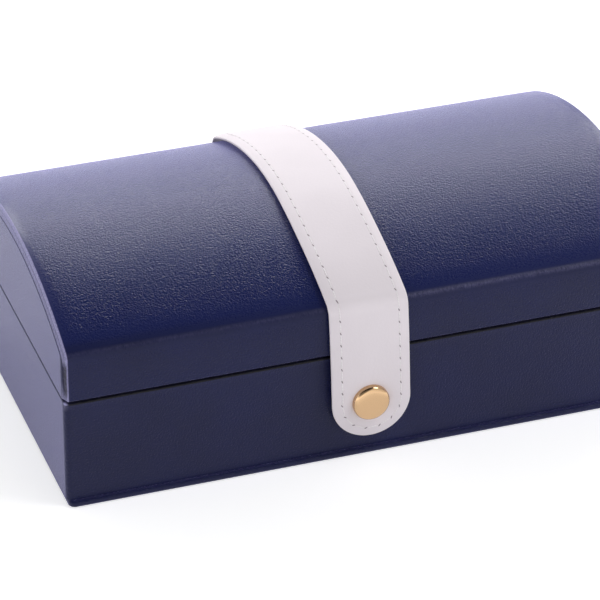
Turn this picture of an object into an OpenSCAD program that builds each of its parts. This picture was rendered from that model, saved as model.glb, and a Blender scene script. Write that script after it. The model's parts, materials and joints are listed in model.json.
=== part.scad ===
// Vaulted jewellery case, book-bound in leather: a wrapped cover holds a base tray and a lid tray.
// X runs along the case, +Y to the hinge at the back, +Z up. Z = 0 is the underside.

/* [Case] */
// Length over the end walls
case_w = 180; // [140:1:240]
// Depth over the cover's front band and back
case_d = 103.4; // [90:0.1:150]
// Height of the base rim above the table
base_h = 34; // [30:0.5:60]
// Height of the lid's side, from its rim to the crease under the vault
lid_side_h = 15; // [13:0.5:30]
// Rise of the vault above the crease
vault_rise = 12.5; // [8:0.5:24]
// Radius of the crease, over the leather
crease_r = 2.8; // [2.4:0.1:5]
// Radius of the trays' upright corners
corner_r = 1.6; // [1:0.1:2.4]

/* [Cover] */
// Thickness of the leather
leather_t = 0.5; // [0.4:0.1:0.8]
// Thickness of the back, vault and band boards
cover_board_t = 1.7; // [1.2:0.1:1.8]
// Thickness of the bottom board
bottom_board_t = 0.8; // [0.8:0.1:2]
// How far the front band stands proud of the base tray
front_setback = 1.3; // [1:0.1:2]
// How far the cover's back, vault and band end inside the end walls
cover_inset = 1; // [0.4:0.1:2]
// How far the bottom board ends inside the end walls
bottom_inset = 0.4; // [0.2:0.1:2]
// Corner radius of the bottom board
bottom_corner_r = 2; // [1:0.5:4]
// Gap between the boards at a crease
crease_gap = 0.3; // [0.2:0.1:1]
// Width of the leather turned in over a board
turn_in = 8; // [5:1:12]

/* [Seams] */
// Gap between the base rim and the lid rim
seam_gap = 0.4; // [0.3:0.1:1]
// Gap between the base rim and the front band
band_gap = 1; // [0.5:0.1:2]
// Clearance between a wall and what lies next to it
fit_gap = 0.2; // [0.1:0.05:0.4]

/* [Trays] */
// Thickness of a tray's wall boards
wall_t = 2; // [1.5:0.1:3]
// Thickness of the base tray's floor board
floor_t = 1.5; // [1:0.1:3]
// Thickness of a velvet-covered liner
liner_t = 1.2; // [0.8:0.1:2]
// How far the liners end inside a rim
liner_drop = 1; // [0.5:0.5:4]
// Thickness of the padded floor
pad_t = 1.5; // [1:0.5:3]

/* [Base fittings] */
// Length of the ring rolls
ring_bay_w = 58; // [40:1:70]
// Height of a ring roll
ring_roll_h = 20; // [14:0.5:22]
// Gap between two ring rolls
ring_gap = 0.4; // [0.2:0.1:1]
// Thickness of a divider
divider_t = 2.4; // [1.6:0.1:4]
// Height of the dividers above the padded floor
divider_h = 23; // [15:0.5:24]
// Depth of the front row of compartments
front_row_d = 40; // [25:1:48]
// Length of the necklace compartment in the back row
necklace_w = 68; // [30:1:75]

/* [Lid fittings] */
// Depth of the recess between the lid rim and the panel
lid_recess = 7.1; // [5:0.1:8]
// Thickness of the panel
panel_t = 2; // [1.5:0.1:3]
// Width and height of the bearers behind the panel
bearer = 3.6; // [2:0.1:4]
// Length of the bearers
bearer_l = 60; // [30:1:66]
// Length of the mirror
mirror_w = 118; // [60:1:120]
// Depth of the mirror
mirror_d = 56; // [30:1:68]
// Thickness of the mirror
mirror_t = 1.8; // [1.5:0.1:3]
// Width of the mirror's frame
frame_w = 5; // [3:0.5:6]
// How far the frame's lip covers the mirror
frame_lip = 2; // [1:0.5:2.5]
// Thickness of the frame's lip
frame_lip_t = 0.7; // [0.4:0.1:1]
// Corner radius of the frame
frame_r = 4; // [1:0.5:6]

/* [Strap] */
// Width of the strap
strap_w = 23.4; // [18:0.1:30]
// Place of the strap's centre line, from the middle of the case
strap_shift = -2.2; // [-20:0.1:20]
// Thickness of the strap at its padded middle
strap_t = 1.9; // [1.5:0.1:2.6]
// Thickness of the strap at its edges
strap_edge_t = 1; // [0.8:0.1:1.3]
// Thickness of the strap's backing
backing_t = 0.5; // [0.4:0.1:0.6]
// Width of the strap's sloping edge, out to the stitches
strap_margin = 3; // [2:0.1:4]
// Glue line under the strap
strap_gap = 0.15; // [0.1:0.05:0.3]
// Gap between the tongue and the strap on the lid
strap_split = 0.3; // [0.2:0.1:0.6]
// Space between the hinge line and the strap's back end
strap_back_end = 2.5; // [2.5:0.1:6]

/* [Snap] */
// Height of the snap above the table
snap_z = 18.8; // [15:0.1:22]
// Diameter of the cap
cap_d = 10.8; // [9:0.1:14]
// Radius of the cap's rolled edge
cap_edge_r = 0.8; // [0.5:0.1:1.2]
// Radius of the cap's dome
cap_dome_r = 16; // [12:0.5:40]
// Diameter of the cap's hollow shank
shank_d = 5.4; // [5:0.1:6]
// Diameter of the hole in the shank and the socket
socket_bore_d = 4.2; // [4:0.1:4.6]
// Diameter of the socket
socket_d = 8.4; // [7:0.1:9]
// Space between the socket and the stud's foot, and over the stud's head
snap_play = 0.35; // [0.3:0.05:0.4]
// Diameter of the stud's head
stud_d = 3.6; // [3:0.1:3.8]
// Diameter of the stud's neck
neck_d = 3; // [2.6:0.1:3]
// Diameter of the stud's foot
stud_foot_d = 8; // [6:0.1:9]
// Thickness of the stud's foot and of the rivet's head
stud_foot_t = 0.4; // [0.3:0.05:0.4]
// Diameter of the rivet that holds the stud
rivet_d = 1.8; // [1.4:0.1:2]
// Radial play of a shank or rivet in its hole
pin_play = 0.1; // [0.05:0.05:0.2]

/* [Hidden] */

NAVY = "#2a2f58";
BOARD = "#8f8778";
VELVET = "#b7b0ad";
IVORY = "#ece6e8";
GOLD = "#d0a878";
GLASS = "#c8d2da";
RING_ROLLS = 7;
FRONT_CELLS = 3;
FINE = 360;
// Steps round a bend of the strap, and over the vault
BEND_STEPS = 12;
VAULT_STEPS = 48;

// Plan sizes
half_w = case_w / 2;
half_d = case_d / 2;
cover_t = leather_t + cover_board_t;
bottom_t = bottom_board_t + 2 * leather_t;
base_front = -half_d + front_setback;
tray_back = half_d - cover_t;
lid_front = -tray_back;
wall_in = leather_t + wall_t;
liner_out = wall_in + leather_t;
liner_in = liner_out + liner_t;
bay_x = half_w - liner_in;
bay_front = base_front + liner_in;
bay_back = tray_back - liner_in;

// Heights
lid_rim = base_h + seam_gap;
hinge_z = base_h + seam_gap / 2;
band_z = base_h + band_gap;
crease_z = lid_rim + lid_side_h;
floor_z = bottom_t + floor_t;
pad_z = floor_z + pad_t;
panel_z = lid_rim + lid_recess;
frame_z = panel_z - mirror_t - pin_play - frame_lip_t;

// The vault is an arc from crease to crease, blended into the upright band and back by crease_r
vault_r = (half_d * half_d + vault_rise * vault_rise) / (2 * vault_rise);
vault_z = crease_z + vault_rise - vault_r;
blend_y = half_d - crease_r;
blend_angle = asin(blend_y / (vault_r - crease_r));
blend_z = vault_z + (vault_r - crease_r) * cos(blend_angle);

// Ring rolls and dividers
main_x = -bay_x + ring_bay_w;
cells_x = main_x + divider_t;
cells_w = bay_x - cells_x;
front_cell_w = (cells_w - (FRONT_CELLS - 1) * divider_t) / FRONT_CELLS;
long_y = bay_front + front_row_d;
ring_pitch = (bay_back - bay_front) / RING_ROLLS;

// Snap: heights are measured along -Y from the middle of the case
strap_face = half_d + strap_gap;
strap_out = strap_face + strap_t;
base_face = -base_front;
socket_t = strap_face - base_face - stud_foot_t - snap_play;
stud_l = strap_out - base_face - snap_play;
stud_head_z = stud_l - 0.3 * stud_d;
rivet_reach = stud_l / 2;

// --- shapes ---

// A block between two corners
module block(low, high) {
    translate(low) cube(high - low);
}

// Extrudes a Y-Z profile along X, from x0 to x1
module along_x(x0, x1) {
    translate([x0, 0, 0]) rotate([90, 0, 90]) linear_extrude(x1 - x0) children();
}

// A rectangle with round corners, square where the radius is none
module round_rect(x0, y0, x1, y1, r) {
    if (r > 0) {
        translate([x0 + r, y0]) square([x1 - x0 - 2 * r, y1 - y0]);
        translate([x0, y0 + r]) square([x1 - x0, y1 - y0 - 2 * r]);
        for (x = [x0 + r, x1 - r], y = [y0 + r, y1 - r]) {
            translate([x, y]) circle(r, $fn = FINE);
        }
    } else {
        translate([x0, y0]) square([x1 - x0, y1 - y0]);
    }
}

// Plan of a tray, drawn in from its leather face
module tray_plan(front, inset) {
    round_rect(-half_w + inset, front + inset, half_w - inset, tray_back - inset, corner_r - inset);
}

// Upright prism of a tray's plan
module tray_prism(front, inset, z0, z1) {
    translate([0, 0, z0]) linear_extrude(z1 - z0) tray_plan(front, inset);
}

// Y-Z outline of the lid, drawn in from the cover's leather face, above z0
module lid_outline(inset, z0) {
    r = crease_r - inset;
    reach = vault_r - inset;
    difference() {
        intersection() {
            translate([0, vault_z]) circle(reach, $fn = FINE);
            translate([-half_d + inset, z0]) square([case_d - 2 * inset, vault_r]);
        }
        for (side = [-1, 1]) {
            polygon([[side * blend_y, blend_z], [side * (half_d - inset + 1), blend_z],
                [side * (half_d - inset + 1), crease_z + 1],
                [side * (reach + 1) * sin(blend_angle), vault_z + (reach + 1) * cos(blend_angle)]]);
        }
    }
    for (side = [-1, 1]) {
        translate([side * blend_y, blend_z]) circle(r, $fn = FINE);
    }
}

// Cross-section of the strap's backing, anticlockwise: x across, y outward
backing_section = [[-strap_w / 2, 0], [strap_w / 2, 0], [strap_w / 2, backing_t], [-strap_w / 2, backing_t]];

// Cross-section of the strap's padded facing, sloping to thin edges
facing_section = [[-strap_w / 2, backing_t], [strap_w / 2, backing_t], [strap_w / 2, strap_edge_t],
    [strap_w / 2 - strap_margin, strap_t], [-strap_w / 2 + strap_margin, strap_t],
    [-strap_w / 2, strap_edge_t]];

// Stations of a bend, each with its centre, its radius and the angle of its normal
function bend(y, z, r, from, to, first, steps) =
    [for (i = [first:steps]) [y, z, r, from + (to - from) * i / steps]];

// Sweeps a section along stations, as one closed polyhedron
module sweep(section, stations) {
    n = len(section);
    last = len(stations) - 1;
    points = [for (s = stations, p = section)
        [strap_shift + p[0], s[0] + (s[2] + p[1]) * cos(s[3]), s[1] + (s[2] + p[1]) * sin(s[3])]];
    sides = [for (i = [0:last - 1], j = [0:n - 1])
        [i * n + j, i * n + (j + 1) % n, (i + 1) * n + (j + 1) % n, (i + 1) * n + j]];
    polyhedron(points, concat(sides, [[for (j = [n - 1:-1:0]) j]], [[for (j = [0:n - 1]) last * n + j]]));
}

// The strap from the front crease over the vault to its end on the lid's back
module strap_over_lid(section) {
    bend_r = crease_r + strap_gap;
    front = 90 + blend_angle;
    back = 90 - blend_angle;
    sweep(section, concat(
        bend(-blend_y, blend_z, bend_r, 180, front, 0, BEND_STEPS),
        bend(0, vault_z, vault_r + strap_gap, front, back, 1, VAULT_STEPS),
        bend(blend_y, blend_z, bend_r, back, 0, 1, BEND_STEPS),
        [[blend_y, hinge_z + strap_back_end, bend_r, 0]]));
}

// The free tongue: an upright run and a half-round end about the snap
module tongue() {
    translate([strap_shift, -strap_face, snap_z]) {
        mirror([0, 1, 0]) linear_extrude(blend_z - strap_split - snap_z) children();
        rotate([90, 0, 0]) rotate([0, 0, 180]) rotate_extrude(angle = 180, $fn = FINE) intersection() {
            children();
            translate([0, -1]) square([strap_w, strap_t + 2]);
        }
    }
}

// Turns a solid drawn along +Z so that it points out of the front at the snap
module at_snap() {
    translate([strap_shift, 0, snap_z]) rotate([90, 0, 0]) children();
}

// --- cover round the base ---

module bottom_plan(inset) {
    x = half_w - bottom_inset - inset;
    round_rect(-x, -half_d + inset, x, half_d - inset, bottom_corner_r - inset);
}

module bottom_board() {
    color(BOARD) translate([0, 0, leather_t]) linear_extrude(bottom_board_t) bottom_plan(leather_t);
}

module bottom_leather() {
    color(NAVY) difference() {
        linear_extrude(bottom_t) bottom_plan(0);
        bottom_board();
        translate([0, 0, leather_t + bottom_board_t / 2]) linear_extrude(bottom_t) bottom_plan(turn_in);
    }
}

module spine_board() {
    x = half_w - cover_inset - leather_t;
    color(BOARD) block([-x, tray_back, bottom_t], [x, half_d - leather_t, hinge_z - seam_gap / 4 - leather_t]);
}

module spine_leather() {
    x = half_w - cover_inset;
    color(NAVY) difference() {
        block([-x, tray_back, bottom_t], [x, half_d, hinge_z - seam_gap / 4]);
        spine_board();
    }
}

// --- base tray ---

module base_walls() {
    tray_prism(base_front, leather_t, bottom_t, base_h - leather_t);
}

module base_wall_front() {
    color(BOARD) difference() {
        intersection() {
            base_walls();
            block([-case_w, base_front, 0], [case_w, base_front + wall_in, base_h]);
        }
        at_snap() cylinder(h = case_d, r = rivet_d / 2 + pin_play, $fn = FINE);
    }
}

module base_wall_back() {
    color(BOARD) intersection() {
        base_walls();
        block([-case_w, tray_back - wall_in, 0], [case_w, tray_back, base_h]);
    }
}

module base_wall_end(side) {
    color(BOARD) mirror([side < 0 ? 1 : 0, 0, 0])
        block([half_w - wall_in, base_front + wall_in, bottom_t],
            [half_w - leather_t, tray_back - wall_in, base_h - leather_t]);
}

module base_leather_wrap() {
    color(NAVY) difference() {
        tray_prism(base_front, 0, bottom_t, base_h);
        tray_prism(base_front, leather_t, -1, base_h - turn_in);
        tray_prism(base_front, liner_out, -1, base_h + 1);
        difference() {
            tray_prism(base_front, leather_t, -1, base_h - leather_t);
            tray_prism(base_front, wall_in, -2, base_h);
        }
        at_snap() cylinder(h = case_d, r = rivet_d / 2 + pin_play, $fn = FINE);
        at_snap() cylinder(h = base_face - wall_in, r = stud_foot_d / 2 + pin_play, $fn = FINE);
    }
}

module tray_floor() {
    color(BOARD) tray_prism(base_front, wall_in, bottom_t, floor_z);
}

module base_liner(low, high) {
    color(VELVET) block([low[0], low[1], floor_z], [high[0], high[1], base_h - liner_drop]);
}

module base_liner_front() {
    base_liner([-half_w + liner_out, base_front + liner_out], [half_w - liner_out, bay_front]);
}

module base_liner_back() {
    base_liner([-half_w + liner_out, bay_back], [half_w - liner_out, tray_back - liner_out]);
}

module base_liner_end(side) {
    mirror([side < 0 ? 1 : 0, 0, 0]) base_liner([bay_x, bay_front], [half_w - liner_out, bay_back]);
}

module floor_pad() {
    color(VELVET) block([-bay_x + fit_gap, bay_front + fit_gap, floor_z],
        [bay_x - fit_gap, bay_back - fit_gap, pad_z]);
}

// --- base fittings ---

// A velvet-wrapped divider board with a round top edge, from (x0, y0) along X or Y
module divider_board(length) {
    r = divider_t / 2;
    translate([0, 0, pad_z]) rotate([90, 0, 90]) linear_extrude(length) {
        translate([-r, 0]) square([divider_t, divider_h - r]);
        translate([0, divider_h - r]) circle(r, $fn = FINE);
    }
}

module divider_across(x, y0, y1) {
    color(VELVET) translate([x + divider_t / 2, y0, 0]) rotate([0, 0, 90]) divider_board(y1 - y0);
}

module divider_main() {
    divider_across(main_x, bay_front, bay_back);
}

module divider_long() {
    color(VELVET) translate([cells_x, long_y + divider_t / 2, 0]) divider_board(cells_w);
}

module divider_front(i) {
    x = cells_x + i * front_cell_w + (i - 1) * divider_t;
    divider_across(x, bay_front, long_y);
}

module divider_back() {
    divider_across(bay_x - necklace_w - divider_t, long_y + divider_t, bay_back);
}

// A foam roll with a full-round top and eased lower edges, lying along X
module ring_roll(i) {
    w = ring_pitch - ring_gap;
    ease = 1.5;
    y = bay_front + (i - 0.5) * ring_pitch;
    color(VELVET) translate([0, y, pad_z]) along_x(-bay_x + fit_gap, main_x - fit_gap) {
        translate([0, ring_roll_h - w / 2]) circle(w / 2, $fn = FINE);
        round_rect(-w / 2, 0, w / 2, ring_roll_h - w / 2, ease);
        translate([-w / 2, ease]) square([w, ring_roll_h - w / 2 - ease]);
    }
}

// --- cover over the lid ---

module cover_ring(inset, z0) {
    difference() {
        lid_outline(inset, z0);
        lid_outline(cover_t, -base_h);
    }
}

module lid_boards() {
    x = half_w - cover_inset - leather_t;
    along_x(-x, x) children();
}

module vault_board() {
    color(BOARD) lid_boards() intersection() {
        cover_ring(leather_t, band_z);
        translate([-case_d, blend_z]) square([2 * case_d, 2 * vault_r]);
    }
}

module side_board(side, z0) {
    y = side < 0 ? -half_d + leather_t : tray_back;
    color(BOARD) lid_boards() translate([y, z0]) square([cover_board_t, blend_z - crease_gap - z0]);
}

module front_band_board() {
    side_board(-1, band_z + leather_t);
}

module lid_back_board() {
    side_board(1, hinge_z + seam_gap / 4 + leather_t);
}

module cover_leather() {
    x = half_w - cover_inset;
    color(NAVY) difference() {
        along_x(-x, x) intersection() {
            cover_ring(0, hinge_z + seam_gap / 4);
            union() {
                translate([-case_d, band_z]) square([2 * case_d, 2 * vault_r]);
                square([case_d, band_z]);
            }
        }
        lid_boards() intersection() {
            cover_ring(leather_t, hinge_z + seam_gap / 4 + leather_t);
            union() {
                translate([-case_d, band_z + leather_t]) square([2 * case_d, 2 * vault_r]);
                square([case_d, band_z + leather_t]);
            }
        }
    }
}

// --- lid tray ---

// Solid block of the lid tray under the vault, drawn in from its leather face
module lid_block(inset) {
    intersection() {
        tray_prism(lid_front, inset, lid_rim + inset, crease_z + vault_rise);
        along_x(-half_w, half_w) lid_outline(cover_t + inset, lid_rim);
    }
}

module lid_end(side) {
    color(BOARD) intersection() {
        lid_block(leather_t);
        mirror([side < 0 ? 1 : 0, 0, 0]) block([half_w - wall_in, -case_d, 0], [half_w, case_d, vault_r]);
    }
}

module lid_wall(side) {
    x = half_w - wall_in;
    color(BOARD) intersection() {
        along_x(-x, x) lid_outline(cover_t, lid_rim + leather_t);
        mirror([0, side < 0 ? 1 : 0, 0]) block([-x, tray_back - wall_in, 0], [x, tray_back - leather_t, vault_r]);
    }
}

module lid_leather_wrap() {
    x = half_w - wall_in;
    y = tray_back - leather_t;
    color(NAVY) {
        difference() {
            lid_block(0);
            lid_block(leather_t);
            block([-x, -y, lid_rim + leather_t], [x, y, vault_r]);
            tray_prism(lid_front, liner_out, 0, crease_z);
        }
        difference() {
            tray_prism(lid_front, wall_in, lid_rim, panel_z);
            tray_prism(lid_front, liner_out, 0, crease_z);
        }
    }
}

// Lid liners run from the rim's turned leather up to the panel
module lid_liner_block(low, high) {
    color(VELVET) block([low[0], low[1], lid_rim + liner_drop], [high[0], high[1], panel_z]);
}

module lid_liner_side(side) {
    mirror([0, side < 0 ? 1 : 0, 0])
        lid_liner_block([-half_w + liner_out, tray_back - liner_in], [half_w - liner_out, tray_back - liner_out]);
}

module lid_liner_end(side) {
    mirror([side < 0 ? 1 : 0, 0, 0])
        lid_liner_block([bay_x, -tray_back + liner_in], [half_w - liner_out, tray_back - liner_in]);
}

module lid_panel() {
    x = half_w - liner_out - fit_gap;
    y = tray_back - liner_out - fit_gap;
    color(VELVET) block([-x, -y, panel_z], [x, y, panel_z + panel_t]);
}

module panel_bearer(side) {
    color(BOARD) mirror([side < 0 ? 1 : 0, 0, 0])
        block([half_w - wall_in - bearer, -bearer_l / 2, panel_z + panel_t],
            [half_w - wall_in, bearer_l / 2, panel_z + panel_t + bearer]);
}

module mirror_glass() {
    color(GLASS) block([-mirror_w / 2, -mirror_d / 2, panel_z - mirror_t], [mirror_w / 2, mirror_d / 2, panel_z]);
}

module mirror_frame() {
    x = mirror_w / 2 - frame_lip + frame_w;
    y = mirror_d / 2 - frame_lip + frame_w;
    color(IVORY) difference() {
        translate([0, 0, frame_z]) linear_extrude(panel_z - frame_z) round_rect(-x, -y, x, y, frame_r);
        block([-mirror_w / 2 - fit_gap, -mirror_d / 2 - fit_gap, panel_z - mirror_t - pin_play],
            [mirror_w / 2 + fit_gap, mirror_d / 2 + fit_gap, panel_z + 1]);
        block([-x + frame_w, -y + frame_w, 0], [x - frame_w, y - frame_w, panel_z + 1]);
    }
}

// --- strap and tongue ---

module strap_facing() {
    color(IVORY) strap_over_lid(facing_section);
}

module strap_backing() {
    color(IVORY) strap_over_lid(backing_section);
}

module tongue_facing() {
    color(IVORY) difference() {
        tongue() polygon(facing_section);
        at_snap() cylinder(h = case_d, r = shank_d / 2 + pin_play, $fn = FINE);
    }
}

module tongue_backing() {
    color(IVORY) difference() {
        tongue() polygon(backing_section);
        at_snap() cylinder(h = case_d, r = shank_d / 2 + pin_play, $fn = FINE);
    }
}

// --- snap ---

// Half profile of the cap's domed head: a shallow sphere running into a rolled edge
module cap_profile() {
    edge_x = cap_d / 2 - cap_edge_r;
    inner_r = cap_dome_r - cap_edge_r;
    dome_y = cap_edge_r - sqrt(inner_r * inner_r - edge_x * edge_x);
    translate([edge_x, cap_edge_r]) circle(cap_edge_r, $fn = FINE);
    square([edge_x, cap_edge_r]);
    intersection() {
        translate([0, dome_y]) circle(cap_dome_r, $fn = FINE);
        polygon([[0, cap_edge_r / 2], [edge_x, cap_edge_r / 2], [edge_x, cap_edge_r],
            [edge_x * (1 + cap_dome_r / inner_r), dome_y + (cap_edge_r - dome_y) * (1 + cap_dome_r / inner_r)],
            [0, cap_dome_r]]);
    }
}

module snap_cap() {
    color(GOLD) at_snap() difference() {
        union() {
            translate([0, 0, strap_out]) rotate_extrude($fn = FINE) intersection() {
                cap_profile();
                square(cap_d);
            }
            translate([0, 0, strap_face]) cylinder(h = strap_t + cap_edge_r, r = shank_d / 2, $fn = FINE);
        }
        translate([0, 0, strap_face - 1]) cylinder(h = strap_t + 1, r = socket_bore_d / 2, $fn = FINE);
    }
}

module snap_socket() {
    color(GOLD) at_snap() translate([0, 0, strap_face - socket_t]) difference() {
        cylinder(h = socket_t, r = socket_d / 2, $fn = FINE);
        translate([0, 0, -1]) cylinder(h = socket_t + 2, r = socket_bore_d / 2, $fn = FINE);
    }
}

// Foot, neck and ball head of the stud, over the rivet's blind hole
module snap_stud() {
    color(GOLD) at_snap() translate([0, 0, base_face]) difference() {
        union() {
            cylinder(h = stud_foot_t, r = stud_foot_d / 2, $fn = FINE);
            cylinder(h = stud_head_z, r = neck_d / 2, $fn = FINE);
            intersection() {
                translate([0, 0, stud_head_z]) sphere(stud_d / 2, $fn = FINE);
                cylinder(h = stud_l, r = stud_d, $fn = FINE);
            }
        }
        translate([0, 0, -1]) cylinder(h = 1 + rivet_reach, r = rivet_d / 2 + pin_play, $fn = FINE);
    }
}

module snap_rivet() {
    inner_face = base_face - wall_in;
    color(GOLD) at_snap() {
        translate([0, 0, inner_face - stud_foot_t]) cylinder(h = stud_foot_t, r = stud_foot_d / 2, $fn = FINE);
        translate([0, 0, inner_face - stud_foot_t])
            cylinder(h = stud_foot_t + wall_in + rivet_reach - pin_play, r = rivet_d / 2, $fn = FINE);
    }
}

bottom_leather();
bottom_board();
spine_leather();
spine_board();
base_wall_front();
base_wall_back();
base_wall_end(-1);  // base_wall_left
base_wall_end(1);  // base_wall_right
base_leather_wrap();
tray_floor();
base_liner_front();
base_liner_back();
base_liner_end(-1);  // base_liner_left
base_liner_end(1);  // base_liner_right
floor_pad();
divider_main();
divider_long();
divider_front(1);  // divider_front_1
divider_front(2);  // divider_front_2
divider_back();
ring_roll(1);  // ring_roll_1
ring_roll(2);  // ring_roll_2
ring_roll(3);  // ring_roll_3
ring_roll(4);  // ring_roll_4
ring_roll(5);  // ring_roll_5
ring_roll(6);  // ring_roll_6
ring_roll(7);  // ring_roll_7
snap_stud();
snap_rivet();
cover_leather();
vault_board();
front_band_board();
lid_back_board();
lid_end(-1);  // lid_end_left
lid_end(1);  // lid_end_right
lid_wall(-1);  // lid_wall_front
lid_wall(1);  // lid_wall_back
lid_leather_wrap();
lid_liner_side(-1);  // lid_liner_front
lid_liner_side(1);  // lid_liner_back
lid_liner_end(-1);  // lid_liner_left
lid_liner_end(1);  // lid_liner_right
lid_panel();
panel_bearer(-1);  // panel_bearer_left
panel_bearer(1);  // panel_bearer_right
mirror_glass();  // mirror
mirror_frame();
strap_facing();
strap_backing();
tongue_facing();
tongue_backing();
snap_cap();
snap_socket();
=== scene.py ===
"""Looks for a vaulted, book-bound leather jewellery case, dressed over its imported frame.

Sizes are in millimetres, X along the case, +Y to the hinge at the back and +Z up, and a mesh is
turned to metres as it is made.
"""

import json
import math

import bmesh
import bpy
import numpy as np
from mathutils import Matrix, Vector


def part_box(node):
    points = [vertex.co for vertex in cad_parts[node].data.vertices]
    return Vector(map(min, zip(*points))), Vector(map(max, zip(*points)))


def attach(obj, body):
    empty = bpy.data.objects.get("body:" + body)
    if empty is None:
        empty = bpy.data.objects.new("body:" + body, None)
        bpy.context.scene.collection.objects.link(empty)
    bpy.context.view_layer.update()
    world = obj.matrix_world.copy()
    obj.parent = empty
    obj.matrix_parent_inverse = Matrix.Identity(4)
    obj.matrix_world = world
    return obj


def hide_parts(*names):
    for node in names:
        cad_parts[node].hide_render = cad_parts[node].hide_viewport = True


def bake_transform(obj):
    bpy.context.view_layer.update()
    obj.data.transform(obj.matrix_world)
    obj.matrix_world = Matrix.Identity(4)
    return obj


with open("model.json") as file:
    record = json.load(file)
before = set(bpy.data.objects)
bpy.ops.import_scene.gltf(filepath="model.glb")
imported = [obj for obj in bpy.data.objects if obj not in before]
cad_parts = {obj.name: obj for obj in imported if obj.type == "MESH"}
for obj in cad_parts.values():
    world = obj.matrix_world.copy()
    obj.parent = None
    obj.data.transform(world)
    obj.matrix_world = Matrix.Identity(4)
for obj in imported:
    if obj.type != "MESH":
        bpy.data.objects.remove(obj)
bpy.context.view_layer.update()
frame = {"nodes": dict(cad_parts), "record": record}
MM = 0.001

# --- camera ---

CAMERA_AZIMUTH = -19.423
CAMERA_ELEVATION = 30.877
CAMERA_ROLL = 0.359
CAMERA_DISTANCE = 1084.0
CAMERA_TARGET = Vector((0, 0, 25))
CAMERA_LENS = 222.5
CAMERA_SHIFT = (-0.02284, -0.01956)


def add_camera():
    """Stands on a circle round the target, at an azimuth from the front and an elevation, and is rolled
    about its line of sight."""
    azimuth, elevation, roll = (math.radians(a) for a in (CAMERA_AZIMUTH, CAMERA_ELEVATION, CAMERA_ROLL))
    across = math.cos(elevation)
    back = Vector((math.sin(azimuth) * across, -math.cos(azimuth) * across, math.sin(elevation)))
    level = Vector((math.cos(azimuth), math.sin(azimuth), 0))
    right = level * math.cos(roll) + back.cross(level) * math.sin(roll)
    turn = Matrix((right, back.cross(right), back)).transposed().to_4x4()
    camera = bpy.data.objects.new("camera", bpy.data.cameras.new("camera"))
    camera.matrix_world = Matrix.Translation((CAMERA_TARGET + back * CAMERA_DISTANCE) * MM) @ turn
    camera.data.lens = CAMERA_LENS
    camera.data.shift_x, camera.data.shift_y = CAMERA_SHIFT
    camera.data.clip_start, camera.data.clip_end = 0.05, 20
    bpy.context.scene.collection.objects.link(camera)
    bpy.context.scene.camera = camera


add_camera()

# --- sizes ---

LEATHER = 0.5
CREASE_R = 2.8
VAULT_RISE = 12.5
TRAY_CORNER_R = 1.6
BOTTOM_CORNER_R = 2.0
COVER_EDGE_R = 0.25
BOARD_EDGE_R = 0.8
RIM_R = 0.4
STITCH_INSET = 3.0
STITCH_PITCH = 4.0
FRAME_W = 5.0
FRAME_CORNER_R = 4.0
THREAD_D = 0.34
STITCH_HOLE_R = 0.4
PUFF = 0.35
CREASE_FOLD_S = 2.0
CAP_SHIFT = 0.4
FLOOR_DROP = 0.1
GUARD = 0.12


def span(*nodes):
    """Lowest and highest corner of CAD nodes, in millimetres."""
    corners = [np.array(corner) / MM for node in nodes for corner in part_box(node)]
    return np.min(corners, axis=0), np.max(corners, axis=0)


cover_low, cover_high = span("cover_leather")
band_low, _ = span("front_band_board")
spine_low, spine_high = span("spine_leather")
bottom_low, bottom_high = span("bottom_leather")
base_low, base_high = span("base_leather_wrap")
lid_low, lid_high = span("lid_leather_wrap")
strap_low, strap_high = span("strap_facing", "strap_backing")
tongue_low, tongue_high = span("tongue_facing", "tongue_backing")
panel_low, panel_high = span("lid_panel")
cap_low, cap_high = span("snap_cap")

COVER_T = spine_high[1] - spine_low[1]
HALF_D = cover_high[1]
CREASE_Z = cover_high[2] - VAULT_RISE
VAULT_R = (HALF_D**2 + VAULT_RISE**2) / (2 * VAULT_RISE)
VAULT_Z = CREASE_Z + VAULT_RISE - VAULT_R
BLEND_Y = HALF_D - CREASE_R
BLEND_ANGLE = math.asin(BLEND_Y / (VAULT_R - CREASE_R))
BLEND_Z = VAULT_Z + (VAULT_R - CREASE_R) * math.cos(BLEND_ANGLE)
HINGE_Z = (spine_high[2] + cover_low[2]) / 2
WALL_IN = base_high[0] - span("tray_floor")[1][0]
STRAP_X = (strap_low[0] + strap_high[0]) / 2
STRAP_R = (strap_high[0] - strap_low[0]) / 2
STRAP_GAP = -tongue_high[1] - HALF_D
STRAP_T = tongue_high[1] - tongue_low[1]
SNAP_Z = (cap_low[2] + cap_high[2]) / 2

# Lengths along the cover's leather from the front crease's lower end
CREASE_L = CREASE_R * (math.pi / 2 - BLEND_ANGLE)
VAULT_L = VAULT_R * 2 * BLEND_ANGLE
OVER_L = 2 * CREASE_L + VAULT_L

# --- mesh ---


def grid_quads(rows, columns, closed_rows=False, closed_columns=False):
    """Quads between the rows and columns of a grid of points, carried round where the grid closes."""
    i, j = np.meshgrid(
        np.arange(rows - (not closed_rows)), np.arange(columns - (not closed_columns)), indexing="ij"
    )
    i, j = i.ravel(), j.ravel()
    up, across = (i + 1) % rows, (j + 1) % columns
    return np.stack(
        [i * columns + j, up * columns + j, up * columns + across, i * columns + across], axis=1
    )


def cuts(low, high, r, step, arc=5):
    """Cuts across a board: even between its edges, and spaced by a tangent inside r of each, to share out
    its round."""
    turn = r - r * np.tan(np.linspace(math.pi / 4, 0, arc + 1))
    flat = np.linspace(low + r, high - r, max(2, math.ceil((high - low - 2 * r) / step) + 1))
    ends = [low + turn, high - turn, flat]
    if high - low > 2 * r + 4 * GUARD:
        ends.append([low + r + GUARD, high - r - GUARD])
    return np.unique(np.round(np.concatenate(ends), 4))


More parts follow.
